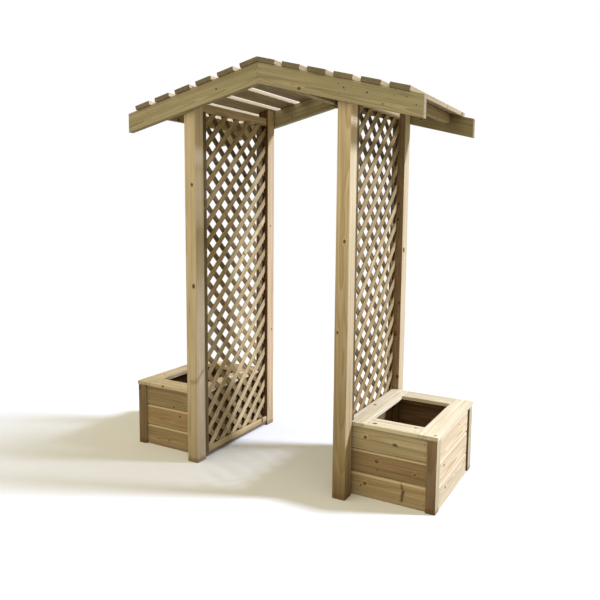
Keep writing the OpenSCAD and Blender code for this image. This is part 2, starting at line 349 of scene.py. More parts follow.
def spike_knot(wood, index):
    """1 on a knot sawn lengthways: a ragged dark band between two points."""
    w = wood.w
    start, end = w.attribute(f"spike_{index}_from"), w.attribute(f"spike_{index}_to")
    width = w.math("MAXIMUM", w.split(w.attribute("spike_widths"))[index], TINY)
    wobble = w.linear(wood.noise(SPIKE_WOBBLE, 1.0), 0.014, -0.007)
    spot = w.vector("ADD", wood.grain, w.join(wobble, wobble, wobble))
    run = w.vector("SUBTRACT", end, start)
    way = w.vector("SUBTRACT", spot, start)
    covered, whole = w.measure("DOT_PRODUCT", way, run), w.measure("DOT_PRODUCT", run, run)
    nearest = w.shade(run, w.math("DIVIDE", covered, whole, clamp=True))
    miss = w.measure("DISTANCE", way, nearest)
    swell = w.math("MAXIMUM", w.linear(wood.noise(SPIKE_SWELLING, 1.0), 2.6, -0.4), 0.1)
    return w.fade(w.math("DIVIDE", miss, w.times(width, swell)), 0.1, 1.3)


def with_spikes(wood, colour, spike):
    """The colour with its spike knots, as dark as the third value of the board's spike_widths says."""
    w = wood.w
    darkness = w.split(w.attribute("spike_widths"))[2]
    spiked = w.shade(wood.palette["Knot"], w.linear(wood.fibre, 0.6, 0.35))
    return w.mix(w.times(spike, darkness), colour, spiked)


def worn(wood, colour, dense):
    """Edges worn and painted lighter, darker sawn ends, and painted light on the faces that look up."""
    w = wood.w
    # paler near the edges: partly wear, partly a painted highlight on the arrises
    worn_highlight = w.times(edge_nearness(w, wood.grain, w.attribute("half")), w.step(wood.patch, 0.35, 0.65))
    colour = w.shade(colour, w.linear(worn_highlight, 0.14, 1.0))
    facing = w.math("ABSOLUTE", w.measure("DOT_PRODUCT", wood.normal, w.attribute("axis")))
    end = w.step(facing, 0.55, 0.85)
    colour = w.shade(colour, w.linear(end, w.less(wood.palette["End shade"], 1.0), 1.0))
    colour = w.mix(w.times(w.times(end, dense), 0.35), colour, wood.palette["Knot"])
    # painted light: faces that look up are turned towards the pale early wood, as if lit from above
    upward = w.step(w.split(wood.normal)[2], 0.08, 0.45)
    return w.mix(w.times(upward, wood.palette["Painted top light"]), colour, wood.palette["Early wood"])


def weathered(wood, colour):
    """Stains that rise from the foot, damp at the ground, soil, stain and painted shade on some faces, and
    painted shade in the joints, partly dirt.
    """
    w = wood.w
    soil_and_shade, rising, strength = w.split(w.attribute("stain"))
    blotch = wood.noise(BLOTCHES)
    height = w.split(w.add("ShaderNodeNewGeometry").outputs["Position"])[2]
    for top in (rising, LOW_STAIN_TOP):
        colour = w.tinted(w.times(w.fade(height, 0.0, top), strength), colour, FOOT_TINT)
    wet = w.fade(w.linear(blotch, -0.025, height), 0.0, DAMP_TOP)
    colour = w.mix(w.times(w.times(wet, wood.palette["Damp"]), 0.55), colour, DAMP_BROWN)
    # soil, stain and painted shade: some faces turned dark brown, as far as the first stain value says
    colour = w.mix(w.times(soil_and_shade, w.linear(blotch, 0.5, 0.6)), colour, SOIL_AND_SHADE_BROWN)
    # painted shade: darker where ambient occlusion finds the wood hemmed in, in joints and recesses, partly
    # standing for dirt there
    inputs = {"Distance": wood.palette["Joint shade reach"]}
    openness = w.add("ShaderNodeAmbientOcclusion", inputs, samples=JOINT_SHADE_SAMPLES).outputs["AO"]
    return w.tinted(w.times(w.fade(openness, 0.10, 0.75), JOINT_SHADE_AMOUNT), colour, JOINT_SHADE_TINT)


def edge_nearness(w, grain, half):
    """1 on a board's long edges and ends, falling to 0 some millimetres in."""
    gap = w.vector("SUBTRACT", half, w.vector("ABSOLUTE", grain))
    a, b, c = w.split(gap)
    middle = w.math("MAXIMUM", w.math("MINIMUM", a, b), w.math("MINIMUM", w.math("MAXIMUM", a, b), c))
    return w.fade(middle, 0.0008, 0.005)


# ---- materials

KNOT_BROWN = srgb(92, 66, 40)
GREEN_AMOUNT = 0.3
# how far the painted shade in joints and recesses reaches, on most timbers and on the lattice
JOINT_SHADE_REACH = 0.016
LATTICE_SHADE_REACH = 0.04


def palette(early, late, warm, green, end=0.72, damp=0.0, top_light=0.0, reach=JOINT_SHADE_REACH):
    """The colours that make one kind of timber, and how it takes cut ends and damp, painted light on faces
    that look up and painted shade in joints.
    """
    colours = [srgb(*early), srgb(*late), srgb(*warm), srgb(*green), KNOT_BROWN]
    numbers = [end, GREEN_AMOUNT, damp, top_light, reach]
    return dict(zip(PALETTE_COLOURS + PALETTE_NUMBERS, colours + numbers))


PALETTES = {
    "post_timber": palette((223, 208, 184), (194, 172, 136), (214, 178, 136), (180, 170, 130), damp=1.0),
    "rafter_timber": palette((202, 190, 164), (170, 157, 124), (192, 167, 128), (162, 156, 122), end=0.95),
    "slat_timber": palette((216, 202, 178), (184, 164, 130), (198, 167, 126), (164, 154, 120), end=0.42),
    "lath_timber": palette(
        (218, 199, 163), (186, 161, 119), (196, 157, 110), (164, 151, 110), reach=LATTICE_SHADE_REACH
    ),
    "rail_timber": palette((207, 188, 158), (174, 149, 114), (188, 153, 114), (160, 150, 116)),
    "board_timber": palette(
        (224, 206, 178), (194, 168, 130), (208, 161, 114), (172, 162, 124), top_light=0.65
    ),
    "cap_timber": palette((234, 224, 204), (210, 196, 166), (220, 194, 156), (192, 184, 150), end=0.85),
    "batten_timber": palette(
        (210, 191, 154), (178, 154, 112), (192, 155, 108), (162, 151, 110), reach=LATTICE_SHADE_REACH
    ),
}
TIMBER_SPECULAR = 0.35
BUMP_DISTANCE = 0.0005
BUMP_STRENGTH = 0.55

STEEL_GREY = srgb(122, 116, 104)
RUST_BROWN = srgb(104, 70, 44)
STEEL_METALLIC = 0.75
RUST_SPOTS = (900, 900, 900)


def new_material(name):
    """A material, its wiring and its surface shader."""
    material = bpy.data.materials.new(name)
    material.use_nodes = True
    return material, Wiring(material.node_tree), material.node_tree.nodes["Principled BSDF"]


def timber_materials():
    """One material a slot, all on the same timber group."""
    group = timber_group()
    made = {}
    for slot, values in PALETTES.items():
        material, w, shader = new_material(slot.replace("_timber", "_softwood"))
        node = w.add("ShaderNodeGroup", node_tree=group)
        for name, value in values.items():
            w.feed(node.inputs[name], value)
        bump_inputs = {"Height": node.outputs["Height"], "Strength": BUMP_STRENGTH, "Distance": BUMP_DISTANCE}
        bump = w.add("ShaderNodeBump", bump_inputs)
        w.feed(shader.inputs["Base Color"], node.outputs["Colour"])
        w.feed(shader.inputs["Roughness"], node.outputs["Roughness"])
        w.feed(shader.inputs["Normal"], bump.outputs["Normal"])
        w.feed(shader.inputs["Specular IOR Level"], TIMBER_SPECULAR)
        made[slot] = material
    return made


def steel_material():
    """Dull galvanised wire, spotted with rust."""
    material, w, shader = new_material("galvanised_steel")
    position = w.add("ShaderNodeNewGeometry").outputs["Position"]
    spots = w.step(w.noise(position, RUST_SPOTS, 3.0), 0.55, 0.72)
    w.feed(shader.inputs["Base Color"], w.mix(spots, STEEL_GREY, RUST_BROWN))
    w.feed(shader.inputs["Roughness"], w.linear(spots, 0.35, 0.42))
    w.feed(shader.inputs["Metallic"], STEEL_METALLIC)
    return material


# ---- boards

MERGE = 1e-5
FLAT_ANGLE = math.radians(1)
SHARP_ANGLE = math.radians(30)
ARRIS = 0.0015
FLAT_FACE_WEIGHT = 90


class Board:
    """One board: its own axes, with the longest first, its middle and half its size along each axis."""

    def __init__(self, verts, axes, keep_order=False):
        self.verts = verts
        spans = []
        for axis in axes:
            reach = [v.co.dot(axis) for v in verts]
            spans.append((max(reach) - min(reach), (max(reach) + min(reach)) / 2, axis))
        if not keep_order:
            spans.sort(key=lambda span: -round(span[0], 5))
        self.axes = [span[2] for span in spans]
        self.half = Vector([span[0] / 2 for span in spans])
        self.middle = sum((span[2] * span[1] for span in spans), Vector())

    def local(self, point):
        """A point of the scene in the board's own axes, from its middle."""
        return Vector([(point - self.middle).dot(axis) for axis in self.axes])

    def knot_at(self, point, radius):
        """A knot through the face that the point lies on."""
        along, broad, narrow = self.local(point)
        on_broad = abs(abs(narrow) - self.half.z) < abs(abs(broad) - self.half.y)
        return (along, broad, radius) if on_broad else (along, narrow, -radius)


def islands(bm):
    """The vertices of each solid that the mesh holds, as lists."""
    found, seen = [], set()
    for start in bm.verts:
        if start in seen:
            continue
        seen.add(start)
        group = [start]
        for vert in group:
            linked = [edge.other_vert(vert) for edge in vert.link_edges]
            fresh = [other for other in linked if other not in seen]
            seen.update(fresh)
            group += fresh
        found.append(group)
    return found


def slope_axes(node):
    """Axes along a roof timber's slope, level across it and square to it."""
    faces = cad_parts[node].data.polygons
    up = max(faces, key=lambda face: face.area * max(face.normal.z, 0)).normal
    return (Vector((up.z, 0, -up.x)), Y_AXIS, Vector((up.x, 0, up.z)))


def nearest_board(boards, point):
    """The board that the point lies on."""
    def miss(board):
        return sum(max(abs(c) - h, 0.0) for c, h in zip(board.local(point), board.half))
    return min(boards, key=miss)


def round_edges(bm, edges, offset):
    """A small round on each of the edges."""
    bmesh.ops.bevel(
        bm, geom=edges, offset=offset, segments=2, profile=0.5, affect="EDGES", clamp_overlap=True
    )


def rounded_copy(node):
    """The node's solids with merged corners, flat faces in one and a small round on each sharp edge."""
    bm = bmesh.new()
    bm.from_mesh(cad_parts[node].data)
    bmesh.ops.remove_doubles(bm, verts=bm.verts, dist=MERGE)
    bmesh.ops.dissolve_limit(bm, angle_limit=FLAT_ANGLE, verts=bm.verts, edges=bm.edges)
    round_edges(bm, [edge for edge in bm.edges if edge.calc_face_angle(0.0) > SHARP_ANGLE], ARRIS)
    return bm


def new_object(bm, name, material):
    """The mesh as an object of the scene, with one material."""
    mesh = bpy.data.meshes.new(name)
    bm.to_mesh(mesh)
    bm.free()
    mesh.materials.append(material)
    made = bpy.data.objects.new(name, mesh)
    bpy.context.scene.collection.objects.link(made)
    return made


def finish_piece(bm, name, material, slot, *nodes):
    """Makes the mesh a piece with smooth rounded edges, riding on the arch in place of its CAD nodes."""
    for face in bm.faces:
        face.smooth = True
    piece = new_object(bm, name, material)
    normals = piece.modifiers.new("even_normals", "WEIGHTED_NORMAL")
    normals.weight = FLAT_FACE_WEIGHT
    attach(piece, "root")
    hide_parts(*nodes)


# ---- characters of the boards


class Character:
    """How a board differs: its tone and tints, its knots a metre and their radius, and its foot stain.

    The foot stain has a strength, foot, and rises so many metres. Boards spread at random about the tone.
    """

    def __init__(
        self, tone=0.0, warm=0.12, green=0.0, knots=1.5, radius=0.008, rising=0.5, foot=0.0, spread=0.05
    ):
        self.tone, self.warm, self.green = tone, warm, green
        self.knots, self.radius = knots, radius
        self.rising, self.foot, self.spread = rising, foot, spread

    def darker(self, amount):
        """The same character with its tone lowered."""
        other = copy.copy(self)
        other.tone -= amount
        return other


PLAIN = Character()
LEFT_CAP = Character(-0.01, 0.50, knots=1.6, radius=0.006)
# nodes whose boards differ from the others of their slot, from the lowest board of the node up
BY_NODE = {
    # the front posts' raised tones, with their browned fronts, paint light on their sides
    "post_front_right": [Character(0.08, 0.10, 0.15, rising=1.9, foot=0.55)],
    "post_front_left": [Character(0.22, 0.06, rising=0.5, foot=0.15)],
    "post_back_right": [Character(0.02, 0.12, rising=0.4, foot=0.2)],
    "post_back_left": [Character(-0.06, 0.55, rising=0.4, foot=0.1)],
    "rafter_front_right": [Character(-0.26, 0.05, 0.3, knots=2.5, radius=0.005)],
    # the back right rafter's darker tone is partly painted shade, where its face lies under the slats
    "rafter_back_right": [Character(-0.46, 0.20, 0.3, knots=2.5, radius=0.005)],
    "rafter_front_left": [Character(-0.20, 0.05, 0.25, knots=2.5, radius=0.005)],
    "planter_left_cap_sides": [LEFT_CAP],
    "planter_left_cap_ends": [LEFT_CAP],
    "planter_right_front_boards": [
        Character(-0.26, 0.40), Character(-0.56, 0.40), Character(-0.12, 0.06, 0.35),
    ],
    "planter_left_front_boards": [
        Character(-0.34, 0.25, 0.2), Character(-0.28, 0.80), Character(-0.42, 0.20, 0.4),
    ],
    "planter_right_outer_boards": [Character(0.10, 0.0), Character(0.08, 0.04), Character(0.12, 0.0)],
}
for side in ("left", "right"):
    BY_NODE[f"bottom_rail_{side}"] = [Character(-0.55, 0.6)]
    BY_NODE[f"eave_batten_{side}"] = [Character(-0.26, 0.15)]
    BY_NODE[f"planter_{side}_corner_posts"] = [Character(-0.14, 0.0, 0.6)]
    # the two darker batten characters are painted shade on battens lying deep beside the laths and posts
    BY_NODE[f"lattice_battens_{side}"] = [
        Character(-0.05, 0.3), Character(-0.68, 0.4), Character(-0.74, 0.4),
    ]
BY_SLOT = {
    "post_timber": Character(0.0, 0.08, knots=1.7, radius=0.009),
    "rafter_timber": Character(-0.15, 0.05, 0.2, knots=2.5, radius=0.005),
    "slat_timber": Character(-0.12, 0.12, spread=0.1),
    "board_timber": Character(-0.08, 0.2, 0.1, knots=3.0, radius=0.007),
    "cap_timber": Character(0.04, 0.0, knots=1.6, radius=0.006),
    "batten_timber": Character(-0.20, 0.25, 0.1),
}
# by side of the arch: the laths that face right, and the laths of the layer behind them, darker as painted
# shade behind the near layer; on the right both darker towards the bottom
LATHS = {
    "left": (
        Character(0.0, 0.20, knots=0.7, radius=0.005, spread=0.12),
        Character(-0.46, 0.30, knots=0.7, radius=0.005, spread=0.12),
    ),
    "right": (
        Character(-0.08, 0.26, knots=0.7, radius=0.005, spread=0.12, rising=1.4, foot=0.62),
        Character(-0.54, 0.34, knots=0.7, radius=0.005, spread=0.12, rising=1.4, foot=0.62),
    ),
}
# painted shade of the roof: how much darker the highest laths are than the lowest
ROOF_SHADE_ON_HIGH_LATHS = 0.34

# how brown and dark the undersides of the roof slats are: partly stain, partly painted shade
BROWNED_AND_SHADED_UNDERSIDE = 0.42
# uprights browned on the face towards the front, and how far: on the back posts and the planters' corner
# posts partly stain, partly painted shade; on the front posts a darker front beside a higher tone paints
# light on the sides
BROWNED_AND_SHADED_FRONTS = {
    "post_front_right": 0.15,
    "post_front_left": 0.24,
    "post_back_right": 0.85,
    "post_back_left": 1.10,
    "planter_right_corner_posts": 0.85,
    "planter_left_corner_posts": 0.85,
}
# how soiled the timbers inside a planter are, and the inner faces of its walls: partly soil, partly painted
# shade
SOILED_AND_SHADED_TIMBER = 0.85
SOILED_AND_SHADED_FACE = 1.0

# knots sawn lengthways, by node: the two ends on the board's face, the width and how dark the board's are
SPIKES = {
    "planter_right_front_boards": [
        ((0.737, -0.283, 0.116), (0.752, -0.283, 0.073), 0.0070, 0.9),
        ((0.752, -0.283, 0.073), (0.744, -0.283, 0.027), 0.0110, 0.9),
        ((0.697, -0.283, 0.295), (0.712, -0.283, 0.288), 0.0090, 0.9),
    ],
    "post_front_left": [
        ((-0.450, -0.370, 0.449), (-0.416, -0.370, 0.458), 0.0200, 0.36),
        ((-0.415, -0.370, 0.460), (-0.415, -0.322, 0.505), 0.0150, 0.36),
    ],
}
# round knots that show, by the node that has them: a point on the face, and a radius
SHOWN_KNOTS = {
    "post_front_left": [((-0.436, -0.370, 1.508), 0.007), ((-0.432, -0.370, 0.975), 0.009)],
    "post_back_left": [((-0.415, 0.328, 1.280), 0.006), ((-0.415, 0.345, 0.620), 0.005)],
    "post_front_right": [((0.462, -0.370, 1.250), 0.006), ((0.433, -0.370, 0.820), 0.005)],
    "post_back_right": [
        ((0.485, 0.319, 1.173), 0.012), ((0.455, 0.300, 1.429), 0.007), ((0.453, 0.300, 1.344), 0.008),
        ((0.452, 0.300, 0.696), 0.012), ((0.474, 0.300, 0.874), 0.007), ((0.474, 0.300, 0.447), 0.009),
    ],
    "planter_right_front_boards": [
        ((0.612, -0.283, 0.192), 0.008), ((0.616, -0.283, 0.150), 0.004),
        ((0.807, -0.283, 0.166), 0.005), ((0.551, -0.283, 0.068), 0.007), ((0.530, -0.283, 0.055), 0.004),
    ],
    "planter_right_outer_boards": [
        ((0.915, 0.055, 0.126), 0.006), ((0.915, -0.145, 0.074), 0.006), ((0.915, -0.176, 0.197), 0.007),
    ],
    "planter_right_cap_sides": [((0.478, -0.015, 0.374), 0.008), ((0.900, -0.278, 0.374), 0.005)],
    "planter_right_cap_ends": [((0.592, -0.269, 0.374), 0.008), ((0.785, -0.230, 0.374), 0.006)],
    "planter_left_front_boards": [
        ((-0.661, -0.283, 0.248), 0.006), ((-0.616, -0.283, 0.202), 0.006), ((-0.699, -0.283, 0.047), 0.005),
    ],
    "rafter_front_left": [((-0.247, -0.402, 1.976), 0.005)],
    "rafter_front_right": [
        ((0.230, -0.402, 1.946), 0.007), ((0.461, -0.402, 1.936), 0.004), ((0.576, -0.402, 1.907), 0.004),
        ((0.651, -0.402, 1.854), 0.003), ((0.762, -0.402, 1.878), 0.003), ((0.806, -0.402, 1.841), 0.003),
    ],
}

# chance: how knots vary and lie, where a board lay in its log, and how its tints vary
KNOT_SIZES = (0.5, 1.15)
KNOTS_ON_BROAD = 0.7
KNOT_FREE_ENDS = 0.96
SEED_REACH = 40
PITH_ALONG_BREADTH = 0.03
PITH_BESIDE = (0.03, 0.10)
RING_SPACINGS = (0.0028, 0.0048)
DRIFT_BROAD = 0.012
DRIFT_NARROW = 0.02
WARM_CHANCE = (-0.08, 0.12)
GREEN_CHANCE = (-0.1, 0.15)


def around(rng, reach):
    """A random number from -reach to reach."""
    return rng.uniform(-reach, reach)


def random_knots(board, character, rng):
    """Knots strewn along a board, each clear of the board's edges."""
    knots = []
    length = 2 * board.half.x
    count = int(character.knots * length + rng.random())
    for _ in range(min(count, KNOT_SLOTS)):
        radius = character.radius * rng.uniform(*KNOT_SIZES)
        on_broad = rng.random() < KNOTS_ON_BROAD
        room = max((board.half.y if on_broad else board.half.z) - radius, 0.0)
        along = around(rng, KNOT_FREE_ENDS) * board.half.x
        across = around(rng, room)
        knots.append((along, across, radius if on_broad else -radius))
    return knots


def layers_of(bm):
    """The vertex layers that the timber group reads, by name."""
    names = ["grain", "seed", "half", "pith", "drift", "tint", "axis", "stain", "spike_widths"]
    names += [f"knot_{index}" for index in range(KNOT_SLOTS)]
    names += [f"spike_{index}_{end}" for index in range(SPIKE_SLOTS) for end in ("from", "to")]
    return {name: bm.verts.layers.float_vector.new(name) for name in names}


def growth(board, character, rng):
    """A board's random place in its log, its half size, its tints and its length's direction."""
    side = rng.choice((-1, 1))
    return {
        "seed": Vector([around(rng, SEED_REACH) for _ in range(3)]),
        "half": board.half,
        "pith": Vector((
            around(rng, PITH_ALONG_BREADTH),
            side * rng.uniform(*PITH_BESIDE),
            rng.uniform(*RING_SPACINGS),
        )),
        "drift": Vector((around(rng, DRIFT_BROAD), around(rng, DRIFT_NARROW), 0)),
        "tint": Vector((
            character.tone + around(rng, character.spread),
            max(character.warm + rng.uniform(*WARM_CHANCE), 0.0),
            max(character.green + rng.uniform(*GREEN_CHANCE), 0.0),
        )),
        "axis": board.axes[0],
    }


def knot_values(board, knots, spikes):
    """A board's knots and spike knots. The third of its spike widths is how dark those are."""
    values = {}
    for index in range(KNOT_SLOTS):
        values[f"knot_{index}"] = Vector(knots[index]) if index < len(knots) else Vector((0, 0, 0))
    widths = [0.0, 0.0, 0.0]
    for index, (start, end, width, darkness) in enumerate(spikes):
        values[f"spike_{index}_from"] = board.local(Vector(start))
        values[f"spike_{index}_to"] = board.local(Vector(end))
        widths[index] = width
        widths[2] = darkness
    values["spike_widths"] = Vector(widths)
    return values


def dress_board(board, layers, character, knots, rng, spikes=(), soil_and_shade=None):
    """Writes a board's grain, its place in the log, its tints, stains, painted shade and knots to its
    vertices.
    """
    values = growth(board, character, rng)
    values.update(knot_values(board, knots, spikes))
    for vert in board.verts:
        vert[layers["grain"]] = board.local(vert.co)
        vert[layers["stain"]] = Vector((soil_and_shade(vert.co) if soil_and_shade else 0.0, character.rising, character.foot))
        for name, value in values.items():
            vert[layers[name]] = value


def soil_and_shade_on(node, board):
    """How soiled, browned and shaded a point of the board is, as a function of the point, or None if clean.

    Some uprights are browned in front and the roof slats underneath, and planters are soiled inside, all
    partly as painted shade.
    """
    if node in BROWNED_AND_SHADED_FRONTS:
        share = BROWNED_AND_SHADED_FRONTS[node]
        front = min(vert.co.y for vert in board.verts) + ARRIS / 2
        return lambda point: share if point.y < front else 0.0
    if node.startswith("roof_slats"):
        underside = -board.half.z + ARRIS / 2
        return lambda point: BROWNED_AND_SHADED_UNDERSIDE if board.local(point).z < underside else 0.0
    if not node.startswith("planter") or "cap" in node or "corner" in node:
        return None
    if not node.endswith("boards") or "inner" in node:
        return lambda point: SOILED_AND_SHADED_TIMBER
    low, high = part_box(node.rsplit("_", 2)[0] + "_floor")
    across = board.axes[2]
    inward = across * (1 if ((low + high) / 2 - board.middle).dot(across) > 0 else -1)
    return lambda point: SOILED_AND_SHADED_FACE if (point - board.middle).dot(inward) > board.half.z / 2 else 0.0


def make_boards(node, slot, material):
    """The piece that stands for one timber node, with each of its boards given its own character."""
    rng = random.Random(f"{SEED} {node}")
    bm = rounded_copy(node)
    layers = layers_of(bm)
    on_slope = slot in ("rafter_timber", "slat_timber")
    axes = slope_axes(node) if on_slope else UPRIGHT
    boards = [Board(verts, axes) for verts in islands(bm)]
    boards.sort(key=lambda board: (round(board.middle.z, 3), board.middle.x, board.middle.y))
    shown = [(Vector(point), radius) for point, radius in SHOWN_KNOTS.get(node, [])]
    characters = BY_NODE.get(node, [BY_SLOT.get(slot, PLAIN)])
    spikes = SPIKES.get(node, [])
    for index, board in enumerate(boards):
        character = characters[index % len(characters)]
        own = [board.knot_at(p, r) for p, r in shown if nearest_board(boards, p) is board]
        knots = own if own else random_knots(board, character, rng)
        scars = [spike for spike in spikes if nearest_board(boards, Vector(spike[0])) is board]
        dress_board(board, layers, character, knots, rng, scars, soil_and_shade_on(node, board))
    finish_piece(bm, f"{node}_sawn", material, slot, node)
    return boards


# ---- lattice, set out as the frame's own laths

LATH_WIDTH = 0.030
LATH_PITCH = 0.105
LATH_ARRIS = 0.0011
LATH_SINK = 0.0002
RISING_START = 0.086
FALLING_START = 0.111
RIGHT_DROP = 0.012
EDGE_SLACK = 1e-6

STAPLE_MARGIN = 0.014
STAPLE_LENGTH = 0.010
STAPLE_WIDTH = 0.0013
STAPLE_RISE = 0.0006
STAPLE_TURN = 0.5
STAPLE_NUDGE = 0.004


def clip(outline, axis, limit, keep_below):
    """A flat outline cut off at a line along one axis."""
    def inside(point):
        return point[axis] <= limit + EDGE_SLACK if keep_below else point[axis] >= limit - EDGE_SLACK
    kept = []
    for start, end in zip(outline, outline[1:] + outline[:1]):
        if inside(start):
            kept.append(start)
        if inside(start) != inside(end):
            share = (limit - start[axis]) / (end[axis] - start[axis])
            kept.append(start.lerp(end, share))
    return kept


def lath_middles(low, high, start):
    """Heights at which the laths of one layer cross the middle of a panel between two corners."""
    half_width = (high.y - low.y) / 2
    first = math.floor((low.z - half_width - start) / LATH_PITCH)
    last = math.ceil((high.z + half_width - start) / LATH_PITCH)
    middles = [start + index * LATH_PITCH for index in range(first, last + 1)]
    return [m for m in middles if half_width + min(half_width, m - low.z, high.z - m) > LATH_PITCH / 2]


def lath_outline(low, high, middle, lean):
    """Outline, in Y and Z, of the lath that crosses the middle of the panel at one height."""
    direction = Vector((1, lean)).normalized()
    across = Vector((-direction.y, direction.x)) * LATH_WIDTH / 2
    reach = direction * (high.z - low.z)
    centre = Vector(((low.y + high.y) / 2, middle))
    start, end = centre - reach, centre + reach
    outline = [start - across, end - across, end + across, start + across]
    limits = ((0, low.y, False), (0, high.y, True), (1, low.z, False), (1, high.z, True))
    for axis, limit, keep_below in limits:
        outline = clip(outline, axis, limit, keep_below)
    return outline


def add_lath(bm, outline, x_low, x_high):
    """A lath cut to an outline, with its edges rounded."""
    near = [bm.verts.new((x_low, p.x, p.y)) for p in outline]
    far = [bm.verts.new((x_high, p.x, p.y)) for p in outline]
    faces = [bm.faces.new(near[::-1]), bm.faces.new(far)]
    for index in range(len(outline)):
        after = (index + 1) % len(outline)
        faces.append(bm.faces.new((near[index], near[after], far[after], far[index])))
    edges = {edge for face in faces for edge in face.edges}
    bmesh.ops.recalc_face_normals(bm, faces=faces)
    round_edges(bm, list(edges), LATH_ARRIS)


def dress_laths(bm, node, low, high, rng):
    """Gives each lath of a panel its own character, darker the higher it is, as painted shade of the roof."""
    layers = layers_of(bm)
    middle = (low.x + high.x) / 2
    near_laths, far_laths = LATHS[node.rsplit("_", 1)[1]]
    for verts in islands(bm):
        near = sum(v.co.x for v in verts) / len(verts) > middle
        lean = 1 if near else -1
        along = Vector((0, 1, lean)).normalized()
        across = Vector((0, -lean, 1)).normalized()
        board = Board(verts, (along, across, X_AXIS), keep_order=True)
        height = (board.middle.z - low.z) / (high.z - low.z)
        character = (near_laths if near else far_laths).darker(ROOF_SHADE_ON_HIGH_LATHS * height)
        dress_board(board, layers, character, random_knots(board, character, rng), rng)


def make_lattice(node, drop, material):
    """A lattice panel as single laths in two layers. Returns the places where its laths cross."""
    rng = random.Random(f"{SEED} {node}")
    low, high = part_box(node)
    middle = (low.x + high.x) / 2
    rising = lath_middles(low, high, RISING_START - drop)
    falling = lath_middles(low, high, FALLING_START - drop)
    bm = bmesh.new()
    for height in rising:
        add_lath(bm, lath_outline(low, high, height, 1), middle - LATH_SINK, high.x)
    for height in falling:
        add_lath(bm, lath_outline(low, high, height, -1), low.x, middle + LATH_SINK)
    dress_laths(bm, node, low, high, rng)
    finish_piece(bm, f"{node}_laths", material, "lath_timber", node)
    return crossing_points(rising, falling, low, high)


def crossing_points(rising, falling, low, high):
    """Where laths of the two layers cross on the face that looks right, if a staple fits in the panel."""
    centre = (low.y + high.y) / 2
    points = []
    for rise in rising:
        for fall in falling:
            point = Vector((high.x, centre + (fall - rise) / 2, (fall + rise) / 2))
            if all(low[i] + STAPLE_MARGIN < point[i] < high[i] - STAPLE_MARGIN for i in (1, 2)):
                points.append(point)
    return points


def make_staples(crossings, steel):
    """A staple over each crossing of two laths, each turned a little differently."""
    rng = random.Random(f"{SEED} staples")
    bm = bmesh.new()
    size = Matrix.Diagonal((2 * STAPLE_RISE, STAPLE_WIDTH, STAPLE_LENGTH, 1))
    for point in crossings:
        turn = Matrix.Rotation(around(rng, STAPLE_TURN), 4, "X")
        nudge = Vector((0, around(rng, STAPLE_NUDGE), around(rng, STAPLE_NUDGE)))
        bmesh.ops.create_cube(bm, size=1, matrix=Matrix.Translation(point + nudge) @ turn @ size)
    round_edges(bm, bm.edges[:], STAPLE_WIDTH / 5)
    finish_piece(bm, "lattice_staples", steel, None)


# ---- nails

NAIL_RADIUS = 0.0027
NAIL_RISE = 0.0007
NAIL_SIDES = 10
# rings of a nail head from below: shares of its radius and of its rise
NAIL_RINGS = ((1.0, -0.4), (1.0, 0.35), (0.82, 0.85), (0.45, 1.0))

# how far nails lie from a board's end, and how far from their line, along it and across it
SLAT_INSET = 0.024
WALL_INSET = 0.016
CAP_INSET = 0.020
NAIL_ROWS = (-0.5, 0.5)
SCATTER_ALONG = 0.003
SCATTER_ACROSS = 0.004
# nails through a rafter into its post: place beside the post's middle, and share of the rafter's depth
POST_NAILS = ((-0.018, 0.45), (0.018, 0.0), (-0.006, -0.45))
# nails through a rafter into the ridge board and the eave batten: shares of the rafter's depth
PAIR_SHARES = (-0.45, 0.35)


def add_nail(bm, point, outward):
    """A nail head: a low dome with a rolled edge, standing a little proud of the wood."""
    turn = outward.to_track_quat("Z", "Y").to_matrix().to_4x4()
    place = Matrix.Translation(point) @ turn
    loops = []
    for share, rise in NAIL_RINGS:
        loop = []
        for side in range(NAIL_SIDES):
            angle = 2 * math.pi * side / NAIL_SIDES
            x, y = math.cos(angle) * share * NAIL_RADIUS, math.sin(angle) * share * NAIL_RADIUS
            loop.append(bm.verts.new(place @ Vector((x, y, rise * NAIL_RISE))))
        loops.append(loop)
    bm.faces.new(loops[0][::-1])
    bm.faces.new(loops[-1])
    for lower, upper in zip(loops, loops[1:]):
        for side in range(NAIL_SIDES):
            after = (side + 1) % NAIL_SIDES
            bm.faces.new((lower[side], lower[after], upper[after], upper[side]))


def nail_board_ends(bm, board, outward, inset, rng):
    """Two nails near each end of a board, through the face that looks outward."""
    normal_index = max(range(3), key=lambda i: abs(board.axes[i].dot(outward)))
    across_index = 3 - normal_index
    sign = 1 if board.axes[normal_index].dot(outward) > 0 else -1
    for end in (-1, 1):
        for row in NAIL_ROWS:
            offset = Vector((0, 0, 0))
            offset[0] = end * (board.half[0] - inset + around(rng, SCATTER_ALONG))
            offset[across_index] = row * board.half[across_index] + around(rng, SCATTER_ACROSS)
            offset[normal_index] = sign * board.half[normal_index]
            point = board.middle + sum((a * o for a, o in zip(board.axes, offset)), Vector())
            add_nail(bm, point, board.axes[normal_index] * sign)


def upward_axis(board, index):
    """One of a board's axes, turned so that it points up."""
    axis = board.axes[index]
    return axis if axis.z > 0 else -axis


